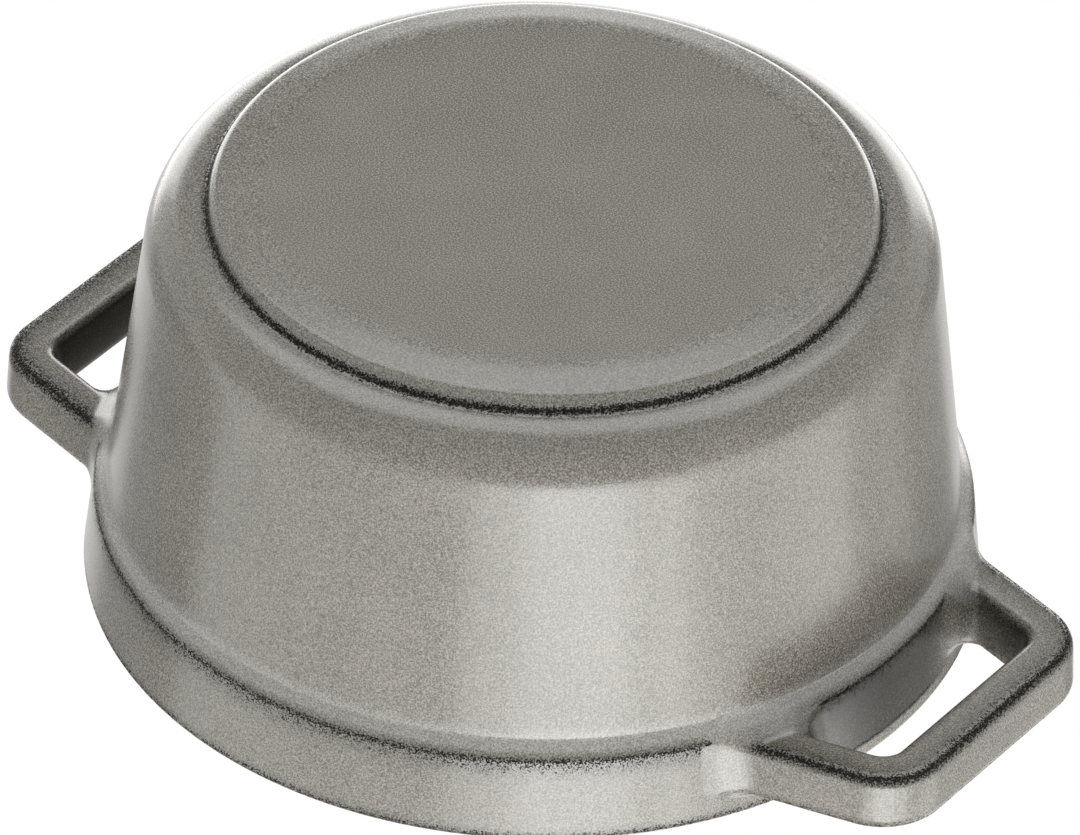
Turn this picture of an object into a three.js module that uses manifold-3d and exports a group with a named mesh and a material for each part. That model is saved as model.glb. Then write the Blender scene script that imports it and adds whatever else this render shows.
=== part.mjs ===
// Mini cocotte: an enamelled cast pot with two bracket handles, and a cast lid with a screwed-on knob.
// Millimetres, +Z up. The origin is the centre of the base, and the handles lie along X.
import * as THREE from 'three';
import { mergeVertices } from 'three/addons/utils/BufferGeometryUtils.js';
import Module from 'manifold-3d';

const wasm = await Module();
wasm.setup();

// Pot, outside
const potHeight = 53.9;
const baseRadius = 35.9; // flat disc that the pot stands on, to the corner of its rounded edge
const baseEdgeRound = 5;
const footRadius = 38.75;
const footEdgeHeight = 1.6; // height of the foot's widest edge
const footHeight = 2.75; // height of the groove above that edge
const footEdgeRound = 0.7;
const footRootRound = 0.4;
const shoulderWidth = 6.75; // from the foot to the corner under the rounded shoulder
const shoulderRound = 7.2;
const shoulderShare = 0.92; // share of the shoulder's width that its round may take up
const rimRadius = 53;
const collarHeight = 10.9;
const collarDraft = 1.2; // how much narrower the collar is at its lower edge
const collarStep = 1.3; // how far that edge stands out from the line of the wall
const collarEdgeRound = 1;
const flareHeight = 1.9; // from where the wall turns outwards up to that edge
const flareRound = 4;
const rimRound = 1.3;

// Pot, inside
const wallThickness = 4.2;
const floorThickness = 5.2;
const floorRound = 6;
const seatDepth = 4.5; // from the rim down to the ledge that carries the lid
const seatWall = 3.6; // collar wall beside the lid
const mouthRound = 0.7;
const seatRootRound = 0.5;
const seatEdgeRound = 0.8;

// Bracket handles
const fingerGap = 8.75; // between the rim and the bar, at the bar's lower face
const barWidth = 5.3; // at the lower face
const barOuterDraft = 0.4; // how much further out the bar reaches at its upper face
const barInnerDraft = 1.2; // how much further in the bar reaches at its upper face
const barHeight = 7.35;
const barEdgeRound = 1.55;
const handleDrop = 2.85; // from the rim down to the handle's upper face
const armRootSpread = 40.6; // between the centre lines of the arms, at the collar
const armEndSpread = 32.9; // between the centre lines of the arms, at the bar
const barCornerRound = 5.5; // on the centre line
const armOuterFillet = 3; // between arm and collar, on the handle's outer side
const armInnerFillet = 5.5; // the same, inside the handle
const armUnderFillet = 3;
const armOverFillet = 1;
const armEmbed = 1; // how deep the arms run into the wall before they are joined to it

// Lid
const lidClearance = 0.4; // around the lid, in the collar and in the mouth
const restGap = 0.3; // between faces that rest on each other
const lidThickness = 4;
const lidEdgeRound = 0.8;
const lipDepth = 2.2; // locating lip under the lid, inside the mouth
const lipWidth = 2.6;
const borderWidth = 3.6; // raised border on top of the lid
const borderRise = 1.9;
const borderRound = 1.1;
const borderFoot = 1.6;
const bossRadius = 9;
const bossRise = 0.6;
const pipRadius = 1.9; // dripping points under the lid
const pipLength = 2.2;
const pipEmbed = 0.6;
const pipRings = [{ count: 6, radius: 17 }, { count: 12, radius: 32 }];

// Knob and its fixing
const knobFootRadius = 6.6;
const knobFootHeight = 1.6;
const knobNeckRadius = 4.8;
const knobNeckHeight = 4.4;
const knobHeadRadius = 10.6;
const knobFlare = 3.2; // height of the cone from the neck to the head
const knobHeadHeight = 6;
const knobHeadRound = 2.6;
const knobDishRadius = 6;
const knobDishDepth = 0.7;
const screwRadius = 2.5;
const screwEngagement = 8; // length of the screw inside the knob
const screwTipChamfer = 0.6;
const screwHeadRadius = 4.6;
const screwHeadHeight = 2.8;
const screwHeadRound = 1.2;
const slotWidth = 1.2;
const slotDepth = 1.3;
const fixingClearance = 0.4; // around the screw, in the lid, the washer and the knob
const washerWidth = 1.7;
const washerThickness = 1.1;
const washerSplit = THREE.MathUtils.degToRad(14);

// Fineness of the curved faces
const bodySegments = 48;
const knobSegments = 32;
const smallSegments = 20;
const pipSegments = 8;
const arcStep = THREE.MathUtils.degToRad(26);
const filletSteps = 4;
const weldDistance = 1e-4;

// Heights and radii that follow from the sizes above
const shoulderRadius = footRadius + shoulderWidth;
const collarRadius = rimRadius - collarDraft;
const wallTopRadius = collarRadius - collarStep;
const ledgeHeight = potHeight - collarHeight;
const wallSlope = (wallTopRadius - shoulderRadius) / (ledgeHeight - footHeight);
const wallRadiusAt = (z) => shoulderRadius + wallSlope * (z - footHeight);
const flareFoot = ledgeHeight - flareHeight;
const floorRadius = wallRadiusAt(floorThickness) - wallThickness;
const seatHeight = potHeight - seatDepth;
const seatRadius = rimRadius - seatWall;
const mouthRadius = Math.min(wallRadiusAt(seatHeight) - wallThickness, seatRadius - lidClearance - seatEdgeRound);
const lidUnder = seatHeight + restGap;
const lidRadius = seatRadius - lidClearance;
const lipRadius = mouthRadius - lidClearance;
const trayHeight = lidUnder + lidThickness;
const bossHeight = trayHeight + bossRise;
const fixingRadius = screwRadius + fixingClearance;
const knobBase = bossHeight + restGap;
const washerTop = lidUnder - restGap;
const washerUnder = washerTop - washerThickness;
const screwHeadTop = washerUnder - restGap;
const screwTip = knobBase + screwEngagement;

// A line through corners [x, y, round, share], where each round becomes an arc that takes up
// no more than that share of the shorter side beside it.
function roundedLine(corners) {
  const points = [];
  corners.forEach(([x, y, round = 0, share = 0.48], i) => {
    const corner = new THREE.Vector2(x, y);
    if (round === 0) {
      points.push(corner);
      return;
    }
    const toLast = new THREE.Vector2(...corners.at(i - 1)).sub(corner);
    const toNext = new THREE.Vector2(...corners[(i + 1) % corners.length]).sub(corner);
    const roomForArc = share * Math.min(toLast.length(), toNext.length());
    toLast.normalize();
    toNext.normalize();
    const halfAngle = Math.acos(THREE.MathUtils.clamp(toLast.dot(toNext), -1, 1)) / 2;
    const reach = Math.min(round / Math.tan(halfAngle), roomForArc);
    const toCentre = toLast.clone().add(toNext).setLength(reach / Math.cos(halfAngle));
    const centre = corner.clone().add(toCentre);
    const start = corner.clone().addScaledVector(toLast, reach);
    const turn = (Math.PI - 2 * halfAngle) * (toLast.cross(toNext) < 0 ? 1 : -1);
    const steps = Math.max(2, Math.ceil(Math.abs(turn) / arcStep));
    for (let k = 0; k <= steps; k += 1) {
      points.push(start.clone().rotateAround(centre, (turn * k) / steps));
    }
  });
  return points;
}

// A turned shape about Z. The outline runs up the outside, on the axis or closed on itself.
function turned(points, segments) {
  return new THREE.LatheGeometry(points, segments).rotateX(Math.PI / 2);
}

function closed(points) {
  return [...points, points[0].clone()];
}

// A geometry as a solid that can be joined and cut.
function solidOf(geometry) {
  const bare = new THREE.BufferGeometry();
  bare.setAttribute('position', geometry.getAttribute('position'));
  bare.setIndex(geometry.getIndex());
  const welded = mergeVertices(bare, weldDistance);
  const index = welded.getIndex();
  const triVerts = [];
  for (let i = 0; i < index.count; i += 3) {
    const [a, b, c] = [index.getX(i), index.getX(i + 1), index.getX(i + 2)];
    if (a !== b && b !== c && c !== a) {
      triVerts.push(a, b, c);
    }
  }
  const vertProperties = new Float32Array(welded.getAttribute('position').array);
  return new wasm.Manifold(new wasm.Mesh({ numProp: 3, vertProperties, triVerts: new Uint32Array(triVerts) }));
}

function geometryOf(solid) {
  const { vertProperties, triVerts } = solid.getMesh();
  const geometry = new THREE.BufferGeometry();
  geometry.setAttribute('position', new THREE.BufferAttribute(vertProperties, 3));
  geometry.setIndex(new THREE.BufferAttribute(triVerts, 1));
  geometry.computeVertexNormals();
  return geometry;
}

const potOutline = roundedLine([
  [0, 0],
  [baseRadius, 0, baseEdgeRound],
  [footRadius, footEdgeHeight, footEdgeRound],
  [footRadius, footHeight, footRootRound],
  [shoulderRadius, footHeight, shoulderRound, shoulderShare],
  [wallRadiusAt(flareFoot), flareFoot, flareRound],
  [collarRadius, ledgeHeight, collarEdgeRound],
  [rimRadius, potHeight, rimRound],
  [seatRadius, potHeight, mouthRound],
  [seatRadius, seatHeight, seatRootRound],
  [mouthRadius, seatHeight, seatEdgeRound],
  [floorRadius, floorThickness, floorRound],
  [0, floorThickness],
]);

// Outer radius of the pot at a height, read off its outline.
function outerRadiusAt(z) {
  const rimIndex = potOutline.findIndex((point) => point.y >= potHeight);
  let radius = 0;
  for (let i = 1; i <= rimIndex; i += 1) {
    const [low, high] = [potOutline[i - 1], potOutline[i]];
    if (z >= low.y && z <= high.y && high.y > low.y) {
      radius = Math.max(radius, THREE.MathUtils.mapLinear(z, low.y, high.y, low.x, high.x));
    }
  }
  return radius;
}

// One bracket handle on the +X side: a rounded bar swept out of the collar, across and back,
// with fillets that spread on the pot where the arms meet it.
function handleGeometry() {
  const barLine = rimRadius + fingerGap + barWidth / 2;
  const rootHalf = armRootSpread / 2;
  const endHalf = armEndSpread / 2;
  const rootX = Math.sqrt(rimRadius ** 2 - rootHalf ** 2);
  const centreHeight = potHeight - handleDrop - barHeight / 2;
  const halfWidth = barWidth / 2;
  const halfHeight = barHeight / 2;
  const section = roundedLine([
    [halfWidth, -halfHeight, barEdgeRound],
    [halfWidth + barOuterDraft, halfHeight, barEdgeRound],
    [-halfWidth - barInnerDraft, halfHeight, barEdgeRound],
    [-halfWidth, -halfHeight, barEdgeRound],
  ]);
  const facings = section.map((_, i) => {
    const side = section[(i + 1) % section.length].clone().sub(section.at(i - 1));
    return new THREE.Vector2(side.y, -side.x).normalize();
  });
  const path = roundedLine([
    [rootX, rootHalf],
    [barLine, endHalf, barCornerRound],
    [barLine, -endHalf, barCornerRound],
    [rootX, -rootHalf],
  ]);

  // Section points run along the left of the path and up.
  const ringAt = (point, along) => {
    const left = new THREE.Vector2(-along.y, along.x);
    return section.map(({ x, y }) => {
      const plan = point.clone().addScaledVector(left, x);
      return new THREE.Vector3(plan.x, plan.y, centreHeight + y);
    });
  };

  // A ring of the fillet between an arm and the pot: angle 0 is on the arm, a right angle on the pot.
  const filletRing = (root, inward, left, angle, depth) => section.map(({ x, y }, i) => {
    const facing = facings[i];
    const sideFillet = facing.x < 0 ? armInnerFillet : armOuterFillet;
    const levelFillet = facing.y < 0 ? armUnderFillet : armOverFillet;
    const radius = sideFillet * facing.x ** 2 + levelFillet * facing.y ** 2;
    const spread = 1 - Math.cos(angle);
    const z = centreHeight + y + levelFillet * spread * facing.y;
    const plan = root.clone().addScaledVector(left, x + sideFillet * spread * facing.x);
    const towards = plan.dot(inward);
    const across = plan.lengthSq() - outerRadiusAt(z) ** 2;
    const toPot = -towards - Math.sqrt(Math.max(0, towards ** 2 - across));
    plan.addScaledVector(inward, toPot - radius * (1 - Math.sin(angle)) + depth);
    return new THREE.Vector3(plan.x, plan.y, z);
  });
  const filletRings = (root, inward, left) => {
    const rings = [];
    for (let k = 0; k <= filletSteps; k += 1) {
      rings.push(filletRing(root, inward, left, (Math.PI / 2) * (k / filletSteps), 0));
    }
    rings.push(filletRing(root, inward, left, Math.PI / 2, armEmbed));
    return rings;
  };

  const along = (i, j) => path[j].clone().sub(path[i]).normalize();
  const last = path.length - 1;
  const startAlong = along(0, 1);
  const endAlong = along(last - 1, last);
  const leftOf = (direction) => new THREE.Vector2(-direction.y, direction.x);
  const rings = [
    ...filletRings(path[0], startAlong.clone().negate(), leftOf(startAlong)).reverse(),
    ...path.slice(1, last).map((point, i) => ringAt(point, along(i, i + 2))),
    ...filletRings(path[last], endAlong, leftOf(endAlong)),
  ];
  return sweptGeometry(rings);
}

// A closed skin over rings of equal count, with a fan over each end.
function sweptGeometry(rings) {
  const count = rings[0].length;
  const positions = rings.flat();
  const index = [];
  for (let k = 0; k + 1 < rings.length; k += 1) {
    for (let j = 0; j < count; j += 1) {
      const [a, b] = [k * count + j, k * count + ((j + 1) % count)];
      index.push(a, b, b + count, a, b + count, a + count);
    }
  }
  const addFan = (ring, firstIndex, facesForward) => {
    const middle = positions.length;
    positions.push(ring.reduce((sum, point) => sum.add(point), new THREE.Vector3()).divideScalar(count));
    for (let j = 0; j < count; j += 1) {
      const [a, b] = [firstIndex + j, firstIndex + ((j + 1) % count)];
      index.push(middle, ...(facesForward ? [a, b] : [b, a]));
    }
  };
  addFan(rings[0], 0, false);
  addFan(rings.at(-1), (rings.length - 1) * count, true);
  return new THREE.BufferGeometry().setFromPoints(positions).setIndex(index);
}

function potGeometry() {
  const handle = handleGeometry();
  const otherHandle = handle.clone().rotateZ(Math.PI);
  return geometryOf(solidOf(turned(potOutline, bodySegments)).add(solidOf(handle)).add(solidOf(otherHandle)));
}

function lidGeometry() {
  const plate = turned(closed(roundedLine([
    [fixingRadius, lidUnder],
    [lipRadius - lipWidth, lidUnder, lidEdgeRound],
    [lipRadius - lipWidth, seatHeight - lipDepth],
    [lipRadius, seatHeight - lipDepth, lidEdgeRound],
    [lipRadius, lidUnder],
    [lidRadius, lidUnder, lidEdgeRound],
    [lidRadius, trayHeight + borderRise, borderRound],
    [lidRadius - borderWidth, trayHeight + borderRise, borderRound],
    [lidRadius - borderWidth - borderFoot, trayHeight, borderRound],
    [bossRadius + bossRise, trayHeight],
    [bossRadius, bossHeight],
    [fixingRadius, bossHeight],
  ])), bodySegments);
  const pip = turned(roundedLine([
    [0, -pipLength],
    [pipRadius / 3, -pipLength],
    [pipRadius, 0],
    [pipRadius, pipEmbed],
    [0, pipEmbed],
  ]), pipSegments);
  let lid = solidOf(plate);
  for (const { count, radius } of pipRings) {
    for (let i = 0; i < count; i += 1) {
      const angle = (2 * Math.PI * (i + 0.5)) / count;
      const [x, y] = [radius * Math.cos(angle), radius * Math.sin(angle)];
      lid = lid.add(solidOf(pip.clone().translate(x, y, lidUnder)));
    }
  }
  return geometryOf(lid);
}

function knobGeometry() {
  const neckFoot = knobBase + knobFootHeight;
  const neckTop = neckFoot + knobNeckHeight;
  const headUnder = neckTop + knobFlare;
  const headTop = headUnder + knobHeadHeight;
  const boreTop = screwTip + fixingClearance;
  return turned(roundedLine([
    [0, boreTop],
    [fixingRadius, boreTop],
    [fixingRadius, knobBase],
    [knobFootRadius, knobBase],
    [knobFootRadius, neckFoot, knobFootHeight / 3],
    [knobNeckRadius, neckFoot, knobFootHeight / 3],
    [knobNeckRadius, neckTop, knobFlare],
    [knobHeadRadius, headUnder, knobHeadRound],
    [knobHeadRadius, headTop, knobHeadRound],
    [knobDishRadius, headTop, knobDishDepth],
    [knobDishRadius - knobDishDepth, headTop - knobDishDepth],
    [0, headTop - knobDishDepth],
  ]), knobSegments);
}

function screwGeometry() {
  const headUnder = screwHeadTop - screwHeadHeight;
  const shank = turned(roundedLine([
    [0, headUnder],
    [screwHeadRadius, headUnder, screwHeadRound],
    [screwHeadRadius, screwHeadTop],
    [screwRadius, screwHeadTop],
    [screwRadius, screwTip - screwTipChamfer],
    [screwRadius - screwTipChamfer, screwTip],
    [0, screwTip],
  ]), smallSegments);
  const slot = new THREE.BoxGeometry(3 * screwHeadRadius, slotWidth, 2 * slotDepth).translate(0, 0, headUnder);
  return geometryOf(solidOf(shank).subtract(solidOf(slot)));
}

function washerGeometry() {
  const [from, to] = [washerSplit / 2, 2 * Math.PI - washerSplit / 2];
  const ring = new THREE.Shape();
  ring.absarc(0, 0, fixingRadius + washerWidth, from, to, false);
  ring.absarc(0, 0, fixingRadius, to, from, true);
  ring.closePath();
  const settings = { depth: washerThickness, bevelEnabled: false, curveSegments: smallSegments };
  return new THREE.ExtrudeGeometry(ring, settings).translate(0, 0, washerUnder);
}

const greyEnamel = new THREE.MeshStandardMaterial({ color: 0x8f8b84, roughness: 0.38, metalness: 0 });
const nickel = new THREE.MeshStandardMaterial({ color: 0xb9b4a8, roughness: 0.25, metalness: 1 });
const zincSteel = new THREE.MeshStandardMaterial({ color: 0x9d9fa0, roughness: 0.4, metalness: 1 });

function piece(name, geometry, material) {
  const mesh = new THREE.Mesh(geometry, material);
  mesh.name = name;
  return mesh;
}

const cocotte = new THREE.Group();
const lidAssembly = new THREE.Group();
lidAssembly.add(
  piece('lid', lidGeometry(), greyEnamel),
  piece('knob', knobGeometry(), nickel),
  piece('knob_screw', screwGeometry(), zincSteel),
  piece('lock_washer', washerGeometry(), zincSteel),
);
cocotte.add(piece('pot_body', potGeometry(), greyEnamel), lidAssembly);

export default cocotte;
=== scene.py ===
import math

import bmesh
import bpy
from mathutils import Matrix, Vector


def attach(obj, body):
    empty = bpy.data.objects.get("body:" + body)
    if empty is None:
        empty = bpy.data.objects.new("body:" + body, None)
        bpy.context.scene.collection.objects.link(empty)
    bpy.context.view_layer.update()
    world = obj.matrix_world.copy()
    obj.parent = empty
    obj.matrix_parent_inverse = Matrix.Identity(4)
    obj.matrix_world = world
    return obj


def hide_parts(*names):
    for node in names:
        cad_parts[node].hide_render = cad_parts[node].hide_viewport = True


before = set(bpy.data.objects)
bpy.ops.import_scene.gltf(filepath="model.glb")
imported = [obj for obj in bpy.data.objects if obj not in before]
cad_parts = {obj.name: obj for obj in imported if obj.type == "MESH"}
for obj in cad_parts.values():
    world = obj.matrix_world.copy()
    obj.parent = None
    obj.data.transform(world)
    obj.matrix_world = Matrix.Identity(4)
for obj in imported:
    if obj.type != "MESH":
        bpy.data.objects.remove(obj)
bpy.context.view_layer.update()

scene = bpy.context.scene
mm = 0.001
weld = 0.002 * mm  # points closer than this are merged
print("frame loaded")

# The camera looks up at the base, with the handles turned across the picture.
view = {
    "elevation": 37.47,  # degrees below the pot's level
    "handleTurn": 35.5,
    "roll": 2.07,
    "distance": 1403.0,
    "aimHeight": 28.9,  # above the plane that the pot stands on
    "aimRight": 0.24,
    "aimUp": -3.44,
    "lens": 400,
    "sensorWidth": 36,
    "clip": (0.05, 12),
}


def addCamera():
    elevation = math.radians(view["elevation"])
    upturned = Matrix.Rotation(math.pi, 3, "X")
    turned = Matrix.Rotation(math.radians(view["handleTurn"]), 3, "Z")
    tilted = Matrix.Rotation(math.pi / 2 - elevation, 3, "X")
    axes = upturned @ turned @ tilted @ Matrix.Rotation(math.radians(view["roll"]), 3, "Z")
    right, up, back = axes.col
    aim = Vector((0, 0, view["aimHeight"])) + right * view["aimRight"] + up * view["aimUp"]
    camera = bpy.data.objects.new("camera", bpy.data.cameras.new("camera"))
    camera.matrix_world = Matrix.Translation((aim + back * view["distance"]) * mm) @ axes.to_4x4()
    camera.data.sensor_fit = "HORIZONTAL"
    camera.data.sensor_width = view["sensorWidth"]
    camera.data.lens = view["lens"]
    camera.data.clip_start, camera.data.clip_end = view["clip"]
    scene.collection.objects.link(camera)
    scene.camera = camera


addCamera()
print("camera placed")


# A node's output socket, with maths on it written as plain expressions.
class Flow:
    def __init__(self, tree, socket=None):
        self.tree = tree
        self.socket = socket

    def node(self, kind, settings=None, sockets=None, out=0):
        made = self.tree.nodes.new("ShaderNode" + kind)
        for name, value in (settings or {}).items():
            setattr(made, name, value)
        for name, value in (sockets or {}).items():
            if isinstance(value, Flow):
                self.tree.links.new(value.socket, made.inputs[name])
            else:
                made.inputs[name].default_value = value
        return Flow(self.tree, made.outputs[out] if made.outputs else None)

    def maths(self, operation, first, second):
        return self.node("Math", {"operation": operation}, {0: first, 1: second})

    def __add__(self, other):
        return self.maths("ADD", self, other)

    def __radd__(self, other):
        return self.maths("ADD", other, self)

    def __sub__(self, other):
        return self.maths("SUBTRACT", self, other)

    def __rsub__(self, other):
        return self.maths("SUBTRACT", other, self)

    def __mul__(self, other):
        return self.maths("MULTIPLY", self, other)

    def __rmul__(self, other):
        return self.maths("MULTIPLY", other, self)

    def between(self, low, high):
        ends = {"Value": self, "From Min": low, "From Max": high}
        return self.node("MapRange", {"interpolation_type": "SMOOTHSTEP"}, ends)

    def blend(self, first, second):
        return self.node("Mix", {"data_type": "RGBA"}, {0: self, 6: first, 7: second}, 2)


def newMaterial(name):
    material = bpy.data.materials.new(name)
    material.use_nodes = True
    material.node_tree.nodes.clear()
    return material, Flow(material.node_tree)


def colour(red, green, blue):
    return (red, green, blue, 1)


# The stage: a white floor that only shows from above, a white surround and soft lamps.
stage = {
    "floorSize": 3.0,
    "floorDrop": 0.4 * mm,
    "floorColour": colour(0.86, 0.86, 0.86),
    "shadowReach": (0.10, 0.34),  # the floor takes shadows up to here and turns plain white beyond
    "surround": colour(1, 1, 1),
    "ambient": colour(0.54, 0.54, 0.55),
    "cardColour": colour(0.40, 0.40, 0.40),
    "aim": Vector((0, 0, 0.027)),
}
lamps = {  # azimuth, elevation, distance, width, height, radiance
    "key": (133, 24, 0.62, 0.28, 0.40, 1.95),
    "keyMid": (134, 24, 0.64, 0.60, 0.42, 2.1),
    "keyWide": (142, 24, 0.66, 1.05, 0.44, 0.85),
    "rightBox": (82, 20, 0.80, 0.78, 0.60, 1.4),
    "leftBox": (219, 20, 0.80, 1.00, 0.60, 0.65),
    "backBox": (324, 1, 0.80, 1.10, 0.58, 2.6),
    "underBox": (324, -70, 0.70, 0.80, 0.44, 1.8),
    "topBox": (50, 66, 0.80, 0.60, 0.60, 1.2),
}
cards = {  # azimuth, elevation, distance, width, height
    "leftCard": (260, 22, 0.72, 0.50, 0.52),
    "rightCard": (12, 22, 0.72, 0.36, 0.52),
    "underCard": (324, -29, 0.72, 0.90, 0.20),
}


def flatMesh(name, width, height):
    bm = bmesh.new()
    bmesh.ops.create_grid(bm, x_segments=1, y_segments=1, size=0.5)
    bmesh.ops.scale(bm, verts=bm.verts[:], vec=(width, height, 1))
    mesh = bpy.data.meshes.new(name)
    bm.to_mesh(mesh)
    bm.free()
    return mesh


def addFloor():
    mesh = flatMesh("floor", stage["floorSize"], stage["floorSize"])
    material, flow = newMaterial("floor")
    fromBelow = flow.node("NewGeometry", out="Backfacing")
    place = flow.node("TexCoord", out="Object")
    distance = flow.node("VectorMath", {"operation": "LENGTH"}, {0: place}, "Value")
    away = distance.between(*stage["shadowReach"])
    paper = flow.node("BsdfDiffuse", None, {"Color": stage["floorColour"]})
    white = flow.node("Emission", None, {"Color": stage["surround"], "Strength": 1})
    ground = flow.node("MixShader", None, {0: away, 1: paper, 2: white})
    clear = flow.node("BsdfTransparent")
    surface = flow.node("MixShader", None, {0: fromBelow, 1: ground, 2: clear})
    flow.node("OutputMaterial", None, {"Surface": surface})
    mesh.materials.append(material)
    floor = bpy.data.objects.new("floor", mesh)
    floor.location.z = -stage["floorDrop"]
    scene.collection.objects.link(floor)
    floor.visible_diffuse = False
    floor.visible_glossy = False
    floor.visible_transmission = False
    floor.visible_shadow = False


def addWorld():
    world = bpy.data.worlds.new("surround")
    world.use_nodes = True
    world.node_tree.nodes.clear()
    scene.world = world
    flow = Flow(world.node_tree)
    toCamera, toGloss, toGlass = [flow.node("LightPath", out="Is " + ray + " Ray")
                                  for ray in ("Camera", "Glossy", "Transmission")]
    seen = toCamera + toGloss + toGlass
    white = flow.node("Background", None, {"Color": stage["surround"], "Strength": 1})
    ambient = flow.node("Background", None, {"Color": stage["ambient"], "Strength": 1})
    surface = flow.node("MixShader", None, {0: seen, 1: ambient, 2: white})
    flow.node("OutputWorld", None, {"Surface": surface})


# A place round the pot, facing it.
def facingPlace(azimuth, elevation, distance):
    turn, rise = math.radians(azimuth), math.radians(elevation)
    away = Vector((math.sin(turn) * math.cos(rise), -math.cos(turn) * math.cos(rise), math.sin(rise)))
    facing = (-away).to_track_quat("-Z", "Y").to_matrix().to_4x4()
    return Matrix.Translation(stage["aim"] + away * distance) @ facing


def addLamp(name, azimuth, elevation, distance, width, height, radiance):
    lamp = bpy.data.lights.new(name, "AREA")
    lamp.shape = "RECTANGLE"
    lamp.size = width
    lamp.size_y = height
    lamp.energy = radiance * math.pi * width * height
    placed = bpy.data.objects.new(name, lamp)
    placed.matrix_world = facingPlace(azimuth, elevation, distance)
    placed.visible_camera = False
    scene.collection.objects.link(placed)


# A dark card that only shows in reflections.
def addCard(name, material, azimuth, elevation, distance, width, height):
    mesh = flatMesh(name, width, height)
    mesh.materials.append(material)
    card = bpy.data.objects.new(name, mesh)
    card.matrix_world = facingPlace(azimuth, elevation, distance)
    scene.collection.objects.link(card)
    card.visible_camera = False
    card.visible_diffuse = False
    card.visible_transmission = False
    card.visible_shadow = False


def cardMaterial():
    material, flow = newMaterial("card")
    surface = flow.node("BsdfDiffuse", None, {"Color": stage["cardColour"]})
    flow.node("OutputMaterial", None, {"Surface": surface})
    return material


addFloor()
addWorld()
for lampName, lampValues in lamps.items():
    addLamp(lampName, *lampValues)
darkCard = cardMaterial()
for cardName, cardValues in cards.items():
    addCard(cardName, darkCard, *cardValues)
scene.view_settings.view_transform = "Standard"
print("stage lit")


# Grey enamel: fine speckle, a slight cloudiness, dark broken lines where it runs thin on edges, a lighter
# grey where it gathers in hollows, which is partly a painted highlight, and painted shade deep inside the
# handles.
enamelLook = {
    "light": colour(0.302, 0.283, 0.240),
    "dark": colour(0.068, 0.063, 0.048),
    "thin": colour(0.014, 0.013, 0.009),
    # the lighter grey in hollows: gathered enamel, and partly a painted highlight
    "gatherHighlightLight": colour(0.455, 0.440, 0.405),
    "gatherHighlightDark": colour(0.225, 0.216, 0.195),
    # painted shade deep inside the handles, dark and dull
    "recessShade": colour(0.017, 0.0165, 0.007),
    "speckleScale": 5200,
    "cloudScale": 90,
    "cloudShare": 0.1,
    "grainRange": (0.30, 0.70),
    "dotScale": 5000,  # dots and ragged patches break up the thin lines
    "dotShare": 0.75,
    "raggedScale": 1400,
    "raggedShare": 0.4,
    "thinRange": (0.60, 0.95),
    "thinTint": 0.45,  # how far the glaze beside a thin line darkens
    "gatherHighlightTint": 0.85,  # how far it lightens in a hollow, partly as a painted highlight
    "recessShadeGrain": 0.45,  # how much of the grain shows through the painted shade deep inside the handles
    # how far the painted shade takes the gloss away inside the handles
    "recessShadeDull": 0.6,
    "roughness": 0.22,
    "roughGrain": 0.4,
    "specular": 0.8,
    # the dull finish of bare thin edges, also used for the painted shade
    "bareAndShadeRoughness": 0.7,
    "bareAndShadeSpecular": 0.06,
    "bumpStrength": 0.35,
    "bumpDistance": 0.02 * mm,
}


def greyEnamel():
    look = enamelLook
    material, flow = newMaterial("greyEnamel")
    place = flow.node("TexCoord", out="Object")
    speckle = flow.node("TexNoise", None, {
        "Vector": place, "Scale": look["speckleScale"], "Detail": 1, "Roughness": 0.6})
    cloud = flow.node("TexNoise", None, {"Vector": place, "Scale": look["cloudScale"], "Detail": 3})
    stipple = flow.node("TexNoise", None, {"Vector": place, "Scale": look["dotScale"], "Detail": 1})
    ragged = flow.node("TexNoise", None, {"Vector": place, "Scale": look["raggedScale"], "Detail": 2})
    edge = flow.node("Attribute", {"attribute_name": "edgeLine"}, None, "Fac")
    # painted shade deep inside the handles
    recessShade = flow.node("Attribute", {"attribute_name": "recessShade"}, None, "Fac")
    dots = stipple.between(*look["grainRange"])
    broken = edge + (dots - 0.5) * look["dotShare"] + (ragged - 0.5) * look["raggedShare"]
    thin = broken.between(*look["thinRange"])
    grain = (speckle + (cloud - 0.5) * look["cloudShare"]).between(*look["grainRange"])
    glaze = grain.blend(look["dark"], look["light"])
    thickAndHighlit = grain.blend(look["gatherHighlightDark"], look["gatherHighlightLight"])
    # lighter where the enamel gathers in hollows, partly a painted highlight
    gatheredAndHighlit = (edge * -look["gatherHighlightTint"]).blend(glaze, thickAndHighlit)
    # painted shade deep inside the handles, with some of the grain left in it
    shaded = (recessShade * (1 - grain * look["recessShadeGrain"])).blend(gatheredAndHighlit, look["recessShade"])
    base = (edge * look["thinTint"]).blend(shaded, look["thin"])
    rough = look["roughness"] + (speckle - 0.5) * look["roughGrain"]
    bump = flow.node("Bump", None, {
        "Strength": look["bumpStrength"], "Distance": look["bumpDistance"], "Height": speckle})
    glossy = flow.node("BsdfPrincipled", None, {
        "Base Color": base, "Roughness": rough, "Normal": bump, "Specular IOR Level": look["specular"]})
    bareAndShade = flow.node("BsdfPrincipled", None, {
        "Base Color": look["thin"], "Roughness": look["bareAndShadeRoughness"],
        "Specular IOR Level": look["bareAndShadeSpecular"]})
    # bare, dull enamel on thin lines, and painted shade that also takes the gloss away inside the handles
    dull = flow.maths("MAXIMUM", thin, recessShade * look["recessShadeDull"])
    surface = flow.node("MixShader", None, {0: dull, 1: glossy, 2: bareAndShade})
    flow.node("OutputMaterial", None, {"Surface": surface})
    return material


# Matt black enamel with a coarse grain, for the inside.
blackLook = {
    "light": colour(0.030, 0.030, 0.031),
    "dark": colour(0.012, 0.012, 0.013),
    "grainScale": 1800,
    "grainRange": (0.35, 0.7),
    "roughness": 0.55,
    "roughGrain": 0.3,
    "bumpStrength": 0.6,
    "bumpDistance": 0.05 * mm,
}


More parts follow.
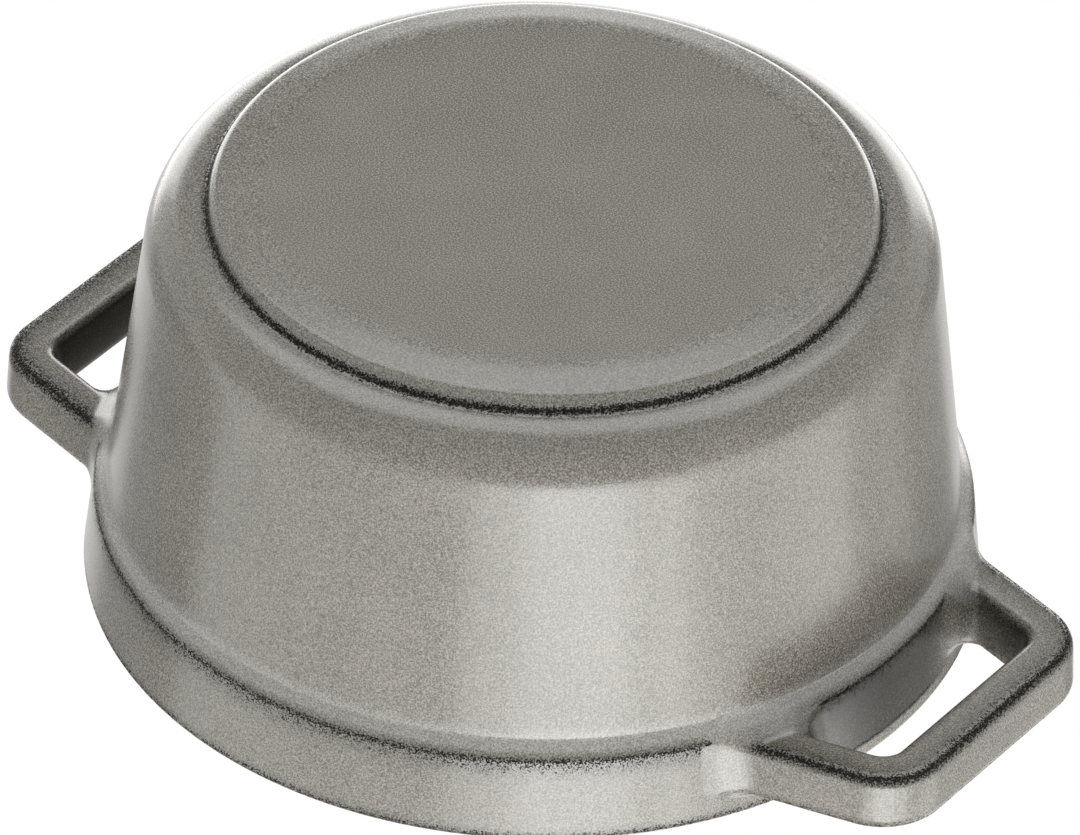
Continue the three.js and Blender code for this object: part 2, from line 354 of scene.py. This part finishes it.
def blackEnamel():
    look = blackLook
    material, flow = newMaterial("blackEnamel")
    place = flow.node("TexCoord", out="Object")
    grain = flow.node("TexNoise", None, {
        "Vector": place, "Scale": look["grainScale"], "Detail": 3, "Roughness": 0.6})
    base = grain.between(*look["grainRange"]).blend(look["dark"], look["light"])
    rough = look["roughness"] + (grain - 0.5) * look["roughGrain"]
    bump = flow.node("Bump", None, {
        "Strength": look["bumpStrength"], "Distance": look["bumpDistance"], "Height": grain})
    surface = flow.node("BsdfPrincipled", None, {"Base Color": base, "Roughness": rough, "Normal": bump})
    flow.node("OutputMaterial", None, {"Surface": surface})
    return material


# Plated metal with fine rings left by turning, each ring a little rougher or smoother.
nickelLook = {
    "light": colour(0.56, 0.53, 0.47),
    "dark": colour(0.49, 0.46, 0.40),
    "ringScale": 2600,
    "roughness": 0.30,
}
zincLook = {
    "light": colour(0.42, 0.43, 0.45),
    "dark": colour(0.30, 0.31, 0.32),
    "ringScale": 3200,
    "roughness": 0.36,
}
turning = {
    "ringShare": 0.16,  # of the rings and of the wear in the roughness
    "wearShare": 0.10,
    "wearScale": 180,
    "wearRange": (0.3, 0.7),
    "bumpStrength": 0.25,
    "bumpDistance": 0.01 * mm,
}


def turnedMetal(name, look):
    material, flow = newMaterial(name)
    place = flow.node("TexCoord", out="Object")
    split = {axis: flow.node("SeparateXYZ", None, {"Vector": place}, axis) for axis in "XYZ"}
    squares = split["X"] * split["X"] + split["Y"] * split["Y"]
    radius = flow.node("Math", {"operation": "SQRT"}, {0: squares})
    across = flow.node("CombineXYZ", None, {"X": radius, "Y": split["Z"]})
    rings = flow.node("TexNoise", {"noise_dimensions": "2D"}, {
        "Vector": across, "Scale": look["ringScale"], "Detail": 3, "Roughness": 0.6})
    wear = flow.node("TexNoise", None, {"Vector": place, "Scale": turning["wearScale"], "Detail": 4})
    base = wear.between(*turning["wearRange"]).blend(look["dark"], look["light"])
    rough = look["roughness"] + (rings - 0.5) * turning["ringShare"] + (wear - 0.5) * turning["wearShare"]
    bump = flow.node("Bump", None, {
        "Strength": turning["bumpStrength"], "Distance": turning["bumpDistance"], "Height": rings})
    surface = flow.node("BsdfPrincipled", None, {
        "Base Color": base, "Metallic": 1, "Roughness": rough, "Normal": bump})
    flow.node("OutputMaterial", None, {"Surface": surface})
    return material


grey = greyEnamel()
black = blackEnamel()
nickel = turnedMetal("nickel", nickelLook)
zinc = turnedMetal("zinc", zincLook)
print("materials made")


# A flat outline through corners (across, up, round, share): each round takes no more than
# that share of the shorter side beside it.
outlineRounds = {
    "share": 0.48,  # where a corner gives none
    "leastSteps": 4,
    "stepAngle": math.radians(11),
}


def addOutline(bm, corners):
    points = [Vector(corner[:2]) for corner in corners]
    verts = [bm.verts.new((point.x * mm, 0, point.y * mm)) for point in points]
    bm.faces.new(verts)
    for i, corner in enumerate(corners):
        if len(corner) == 2:
            continue
        share = corner[3] if len(corner) > 3 else outlineRounds["share"]
        toLast = points[i - 1] - points[i]
        toNext = points[(i + 1) % len(points)] - points[i]
        half = toLast.angle(toNext) / 2
        reach = min(corner[2] / math.tan(half), share * min(toLast.length, toNext.length))
        turn = math.pi - 2 * half
        steps = max(outlineRounds["leastSteps"], math.ceil(turn / outlineRounds["stepAngle"]))
        bmesh.ops.bevel(bm, geom=[verts[i]], offset=reach * mm, offset_type="OFFSET", affect="VERTICES",
                        segments=steps, profile=0.5, material=-1)


# Splits long sides close to both ends, so that the rounds beside them keep their shading.
def holdEnds(bm, gap):
    for edge in [edge for edge in bm.edges if edge.calc_length() > 6 * gap]:
        first, second = edge.verts
        near = bmesh.utils.edge_split(edge, first, gap / edge.calc_length())[1]
        rest = next(side for side in near.link_edges if side.other_vert(near) is second)
        bmesh.utils.edge_split(rest, second, gap / rest.calc_length())


# Turns the flat outline about Z.
def turnOutline(bm, steps):
    bmesh.ops.delete(bm, geom=bm.faces[:], context="FACES_ONLY")
    onAxis = [edge for edge in bm.edges if max(abs(vert.co.x) for vert in edge.verts) < weld]
    bmesh.ops.delete(bm, geom=onAxis, context="EDGES")
    bmesh.ops.spin(bm, geom=bm.verts[:] + bm.edges[:], cent=(0, 0, 0), axis=(0, 0, 1), dvec=(0, 0, 0),
                   angle=2 * math.pi, steps=steps, use_merge=True)
    bmesh.ops.remove_doubles(bm, verts=bm.verts[:], dist=weld)
    bmesh.ops.recalc_face_normals(bm, faces=bm.faces[:])


# How thin the enamel runs at a spot beside lines (across, up, reach, strength): above 0 on edges,
# where it runs thin, and below 0 in hollows, where it gathers and turns lighter, partly as a painted
# highlight.
def thinAt(spot, lines):
    marks = [strength * max(0, 1 - (spot - Vector((across, up))).length / reach)
             for across, up, reach, strength in lines]
    return max(marks, key=abs)


def markThin(bm, lines):
    layer = bm.verts.layers.float.new("edgeLine")
    for vert in bm.verts:
        vert[layer] = thinAt(Vector((math.hypot(vert.co.x, vert.co.y), vert.co.z)) / mm, lines)


def addPiece(name, bm, materials, body, node):
    for face in bm.faces:
        face.smooth = True
    mesh = bpy.data.meshes.new(name)
    bm.to_mesh(mesh)
    bm.free()
    for material in materials:
        mesh.materials.append(material)
    made = bpy.data.objects.new(name, mesh)
    scene.collection.objects.link(made)
    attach(made, body)
    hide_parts(node)
    return made


# The pot's casting, turned from one outline that runs up the outside and down the inside.
pot = {
    "outline": [
        (0, 0),
        (33.2, 0, 20.0),  # rounded edge of the base
        (38.6, 0.85, 1.35),  # foot
        (39.05, 2.75, 1.0, 0.6),
        (45.5, 2.75, 7.2, 0.92),  # shoulder
        (50.06, 39.5),
        (50.26, 41.1, 0.9),  # the wall turns out to the collar
        (51.03, 42.05),
        (51.8, 43.0, 1.0),  # lower edge of the collar
        (52.19, 46.5),
        (52.77, 51.8),
        (52.83, 52.35),
        (53.0, 53.9, 1.3),  # rim
        (49.4, 53.9, 0.7),
        (49.4, 49.4, 0.5),  # lid seat
        (47.1, 49.4, 0.8),
        (41.6, 5.2, 6.0),  # floor
        (0, 5.2),
    ],
    "steps": 192,
    "endHold": 0.3,
    "thinLines": [  # radius, height, reach, strength
        (38.98, 2.5, 1.3, 1.25),
        # the turn from wall to collar is painted lighter: gathered enamel, and partly a painted highlight
        (50.4, 41.2, 1.1, -1.0),
        (51.0, 42.0, 1.0, -1.0),
        (51.75, 43.2, 1.1, 1.0),
        (51.9, 43.5, 3.6, 0.7),
        (52.77, 53.3, 1.3, 0.9),
        (49.5, 53.7, 0.6, 0.7),
    ],
    "seatTop": 50.5,  # the inside is black up to here
    "inward": 0.15,  # how far a face leans inwards or up to count as inside
    "collarInside": 51,
    "recessShadeHeights": (43.1, 43.7, 51.8, 52.3),  # painted shade on the collar inside the handles
    "recessShadeAngles": (7, 15),
    "recessShadeDepth": 0.85,
    "recessShadeLine": (52.77, 51.8, 0.4),  # a thin dark line of painted shade along its end: radius, height, reach
}


# The outer radius at a height, read off the flat outline.
def outerLine(bm):
    sides = []
    for edge in bm.edges:
        low, high = sorted((vert.co / mm for vert in edge.verts), key=lambda point: point.z)
        if high.z - low.z > 1e-4:
            sides.append((low, high))

    def radiusAt(height):
        across = [low.x + (high.x - low.x) * (height - low.z) / (high.z - low.z)
                  for low, high in sides if low.z <= height <= high.z]
        return max(across, default=0)

    return radiusAt


def ramp(value, low, high):
    return min(1, max(0, (value - low) / (high - low)))


# 1 on the collar inside a handle, down to 0 beside it.
def insideHandle(place):
    near, far = pot["recessShadeAngles"]
    return ramp(-math.degrees(math.atan2(abs(place.y), abs(place.x))), -far, -near)


# How deep the painted shade lies at a place on the collar inside a handle.
def recessShadeAt(place):
    foot, low, high, top = pot["recessShadeHeights"]
    level = ramp(place.z, foot, low) * ramp(-place.z, -top, -high)
    return pot["recessShadeDepth"] * insideHandle(place) * level


# Paints shade on the collar deep inside the handles, with a thin dark line of painted shade along its
# end.
def markRecessShade(bm):
    recessShade = bm.verts.layers.float.new("recessShade")
    edgeLine = bm.verts.layers.float["edgeLine"]
    lineRadius, lineHeight, reach = pot["recessShadeLine"]
    for vert in bm.verts:
        place = vert.co / mm
        radius = math.hypot(place.x, place.y)
        if radius < pot["collarInside"]:
            continue
        vert[recessShade] = recessShadeAt(place)
        if place.z > lineHeight - reach:
            line = max(0, 1 - math.hypot(radius - lineRadius, place.z - lineHeight) / reach)
            vert[edgeLine] += insideHandle(place) * (line - vert[edgeLine])


potMesh = bmesh.new()
addOutline(potMesh, pot["outline"])
holdEnds(potMesh, pot["endHold"] * mm)
potRadiusAt = outerLine(potMesh)
turnOutline(potMesh, pot["steps"])
markThin(potMesh, pot["thinLines"])
markRecessShade(potMesh)
for face in potMesh.faces:
    middle = face.calc_center_median()
    outward = Vector((middle.x, middle.y, 0)).normalized()
    facesIn = face.normal.dot(outward) < -pot["inward"]
    facesUp = face.normal.z > pot["inward"] and middle.z < pot["seatTop"] * mm
    face.material_index = 1 if facesIn or facesUp else 0
addPiece("potShell", potMesh, [grey, black], "pot", "pot_body")
print("pot turned")


# One bracket handle: a tapered bar carried round a corner and down an arm that flares on to the pot.
handle = {
    "section": [  # outward, up, round
        (2.65, -3.675, 1.55),
        (3.05, 3.675, 1.55),
        (-3.85, 3.675, 1.55),
        (-2.65, -3.675, 1.55),
    ],
    "centreHeight": 47.375,
    "corner": Vector((64.4, 16.45)),  # where the lines of bar and arm cross
    "root": Vector((48.96, 20.3)),
    "cornerRound": 5.5,
    "cornerSteps": 14,
    "fillets": {"outer": 3.0, "inner": 5.5, "under": 3.0, "over": 1.0},
    "gatherHighlights": {"outer": 0.45, "inner": 0.12, "under": 0.75, "over": 0.3},  # enamel gathered in the fillets, lighter and partly a painted highlight
    "filletSteps": 10,
    "swellPeak": 2.6,  # brings the most gathered spot of a fillet to 1
    "embed": 1.0,
    "endHold": 0.3,
    "rightLines": [  # outward, up, reach, strength
        (2.15, -3.4, 1.4, 1.2),
        (1.6, -3.675, 2.9, 0.6),
        (-1.2, -3.675, 1.4, -0.4),
        (2.8, 3.0, 1.2, 0.95),
        (-3.6, 2.8, 1.3, 1.0),
        (-2.6, -3.0, 0.9, 0.8),
    ],
    "leftLines": [
        (2.0, -3.5, 2.2, 1.15),
        (1.4, -3.675, 3.3, 0.75),
        (2.8, 3.0, 1.2, 0.95),
        (-3.5, 3.3, 1.0, 0.9),
        (-2.4, -3.2, 0.8, 0.7),
    ],
    "rightRecessShade": (0.85, 0.35),  # painted shade on the inner face, at its lower and upper edge
    "leftRecessShade": (1.25, 1.15),
    "recessShadeSpan": (-2, 2),  # heights of those two edges
    "recessShadeFacing": (0.6, 0.98),  # how squarely a spot has to face inwards
}


def ringEdges(bm, ring):
    return [bm.edges.get(pair) for pair in zip(ring, ring[1:] + ring[:1])]


# Extrudes a ring of verts and returns the new ring in the same order.
def extrudeRing(bm, ring):
    grown = set(bmesh.ops.extrude_edge_only(bm, edges=ringEdges(bm, ring))["geom"])
    return [next(edge.other_vert(vert) for edge in vert.link_edges if edge.other_vert(vert) in grown)
            for vert in ring]


def handleMesh(lines, recessShade):
    bm = bmesh.new()
    layer = bm.verts.layers.float.new("edgeLine")
    shadeLayer = bm.verts.layers.float.new("recessShade")
    addOutline(bm, handle["section"])
    holdEnds(bm, handle["endHold"] * mm)
    ring = [loop.vert for loop in bm.faces[:][0].loops]
    section = [Vector((vert.co.x, vert.co.z)) / mm for vert in ring]
    around = [section[(i + 1) % len(section)] - section[i - 1] for i in range(len(section))]
    if sum(spot.cross(step) for spot, step in zip(section, around)) < 0:
        around = [-step for step in around]
    facings = [Vector((step.y, -step.x)).normalized() for step in around]
    marks = [thinAt(spot, lines) for spot in section]
    # painted shade on the faces that look in towards the pot
    lower, upper = recessShade
    shadeDepths = [(lower + (upper - lower) * ramp(spot.y, *handle["recessShadeSpan"]))
              * ramp(-facing.x, *handle["recessShadeFacing"])
              for spot, facing in zip(section, facings)]
    for vert, mark, shadeDepth in zip(ring, marks, shadeDepths):
        vert[layer] = mark
        vert[shadeLayer] = shadeDepth
    bmesh.ops.delete(bm, geom=bm.faces[:], context="FACES_ONLY")

    arm = (handle["root"] - handle["corner"]).normalized()
    turn = math.atan2(-arm.x, arm.y)
    reach = handle["cornerRound"] * math.tan(turn / 2)
    straight = handle["corner"].y - reach
    hold = handle["endHold"]
    middle = Vector((handle["corner"].x, 0, handle["centreHeight"]))
    bmesh.ops.translate(bm, verts=ring, vec=middle * mm)
    for step in (straight - hold, hold):
        ring = extrudeRing(bm, ring)
        bmesh.ops.translate(bm, verts=ring, vec=(0, step * mm, 0))
    pivot = Vector((handle["corner"].x - handle["cornerRound"], straight, 0)) * mm
    for _ in range(handle["cornerSteps"]):
        ring = extrudeRing(bm, ring)
        bmesh.ops.rotate(bm, verts=ring, cent=pivot,
                         matrix=Matrix.Rotation(turn / handle["cornerSteps"], 3, "Z"))
    ring = extrudeRing(bm, ring)
    bmesh.ops.translate(bm, verts=ring, vec=Vector((arm.x, arm.y, 0)) * hold * mm)

    side = Vector((arm.y, -arm.x))
    rounds = [math.pi / 2 * k / handle["filletSteps"] for k in range(handle["filletSteps"] + 1)]
    fillets, gatherHighlights = handle["fillets"], handle["gatherHighlights"]
    for angle, sunk in [(angle, 0) for angle in rounds] + [(math.pi / 2, handle["embed"])]:
        onPot = ring
        ring = extrudeRing(bm, ring)
        spread = 1 - math.cos(angle)
        onWall = math.sin(angle) ** 2
        swell = handle["swellPeak"] * onWall * math.cos(angle)
        for vert, spot, facing, mark, shadeDepth in zip(ring, section, facings, marks, shadeDepths):
            across = "inner" if facing.x < 0 else "outer"
            level = "under" if facing.y < 0 else "over"
            radius = fillets[across] * facing.x ** 2 + fillets[level] * facing.y ** 2
            height = handle["centreHeight"] + spot.y + fillets[level] * spread * facing.y
            plan = handle["root"] + side * (spot.x + fillets[across] * spread * facing.x)
            along = plan.dot(arm)
            room = along ** 2 - plan.length_squared + potRadiusAt(height) ** 2
            toPot = -along - math.sqrt(max(0, room))
            plan += arm * (toPot - radius * (1 - math.sin(angle)) + sunk)
            place = Vector((plan.x, plan.y, height))
            vert.co = place * mm
            wallMark = min(0, thinAt(Vector((potRadiusAt(height), height)), pot["thinLines"]))
            # the fillets are painted lighter: gathered enamel, and partly a painted highlight
            gatheredAndHighlit = gatherHighlights[across] * facing.x ** 2 + gatherHighlights[level] * facing.y ** 2
            vert[layer] = mark * (1 - onWall) + wallMark * onWall - gatheredAndHighlit * swell
            # the painted shade runs on to the collar
            vert[shadeLayer] = shadeDepth * (1 - onWall) + recessShadeAt(place) * onWall
    for edge in ringEdges(bm, onPot):  # the part inside the wall doesn't bend the shading outside it
        edge.smooth = False
    bmesh.ops.holes_fill(bm, edges=ringEdges(bm, ring))
    bmesh.ops.mirror(bm, geom=bm.verts[:] + bm.edges[:] + bm.faces[:], matrix=Matrix.Identity(4),
                     merge_dist=weld, axis="Y")
    bmesh.ops.remove_doubles(bm, verts=bm.verts[:], dist=weld)
    bmesh.ops.recalc_face_normals(bm, faces=bm.faces[:])
    return bm


rightHandle = handleMesh(handle["rightLines"], handle["rightRecessShade"])
leftHandle = handleMesh(handle["leftLines"], handle["leftRecessShade"])
bmesh.ops.rotate(leftHandle, verts=leftHandle.verts[:], cent=(0, 0, 0),
                 matrix=Matrix.Rotation(math.pi, 3, "Z"))
addPiece("rightHandle", rightHandle, [grey], "pot", "pot_body")
addPiece("leftHandle", leftHandle, [grey], "pot", "pot_body")
print("handles bent")


# The lid: a dished plate with a raised border, a boss for the knob, a locating lip and dripping points.
lid = {
    "outline": [
        (2.9, 49.7),
        (44.1, 49.7, 0.8),
        (44.1, 47.2, 0.6),
        (46.7, 47.2, 0.8),  # locating lip
        (46.7, 49.7, 0.4),
        (49.0, 49.7, 0.8),
        (49.0, 55.6, 1.1),  # border
        (45.4, 55.6, 1.1),
        (43.8, 53.7, 1.1),
        (9.6, 53.7, 0.3),
        (9.0, 54.3, 0.25),  # boss
        (2.9, 54.3),
    ],
    "steps": 192,
    "endHold": 0.3,
    "thinLines": [
        (48.7, 55.3, 1.1, 0.95),
        (45.5, 55.4, 0.8, 0.7),
        (8.95, 54.2, 0.6, 0.7),
    ],
    "points": [(6, 17), (12, 32)],  # count and radius of each ring
    "pointOutline": [(0, -2.2), (0.95, -2.2, 0.5), (1.9, 0), (1.9, 0.6), (0, 0.6)],
    "pointSteps": 20,
    "underside": 49.7,
    "blackTop": 50.1,  # faces below this are black, unless they face straight up
    "upFacing": 0.9,
}

lidMesh = bmesh.new()
addOutline(lidMesh, lid["outline"])
holdEnds(lidMesh, lid["endHold"] * mm)
turnOutline(lidMesh, lid["steps"])
markThin(lidMesh, lid["thinLines"])
for face in lidMesh.faces:
    if face.calc_center_median().z < lid["blackTop"] * mm and face.normal.z < lid["upFacing"]:
        face.material_index = 1
point = bmesh.new()
addOutline(point, lid["pointOutline"])
turnOutline(point, lid["pointSteps"])
for face in point.faces:
    face.material_index = 1
pointMesh = bpy.data.meshes.new("drippingPoint")
point.to_mesh(pointMesh)
point.free()
for count, radius in lid["points"]:
    for i in range(count):
        angle = 2 * math.pi * (i + 0.5) / count
        known = set(lidMesh.verts)
        lidMesh.from_mesh(pointMesh)
        fresh = [vert for vert in lidMesh.verts if vert not in known]
        place = Vector((radius * math.cos(angle), radius * math.sin(angle), lid["underside"]))
        bmesh.ops.translate(lidMesh, verts=fresh, vec=place * mm)
addPiece("lidPlate", lidMesh, [grey, black], "lid_set", "lid")
print("lid turned")


# The turned knob.
knob = {
    "outline": [
        (0, 63.0),
        (2.9, 63.0),
        (2.9, 54.6),  # bore
        (6.6, 54.6, 0.2),
        (6.6, 56.2, 0.53),
        (4.8, 56.2, 0.53),
        (4.8, 60.6, 3.2),
        (10.6, 63.8, 2.6),
        (10.6, 69.8, 2.6),
        (6.0, 69.8, 0.7),
        (5.3, 69.1, 0.5),  # dish
        (0, 69.1),
    ],
    "steps": 128,
    "endHold": 0.2,
}

knobMesh = bmesh.new()
addOutline(knobMesh, knob["outline"])
holdEnds(knobMesh, knob["endHold"] * mm)
turnOutline(knobMesh, knob["steps"])
addPiece("knobTurned", knobMesh, [nickel], "lid_set", "knob")
print("knob turned")

for node in ("knob_screw", "lock_washer"):
    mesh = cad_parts[node].data
    mesh.materials.clear()
    mesh.materials.append(zinc)
print("fixing finished")
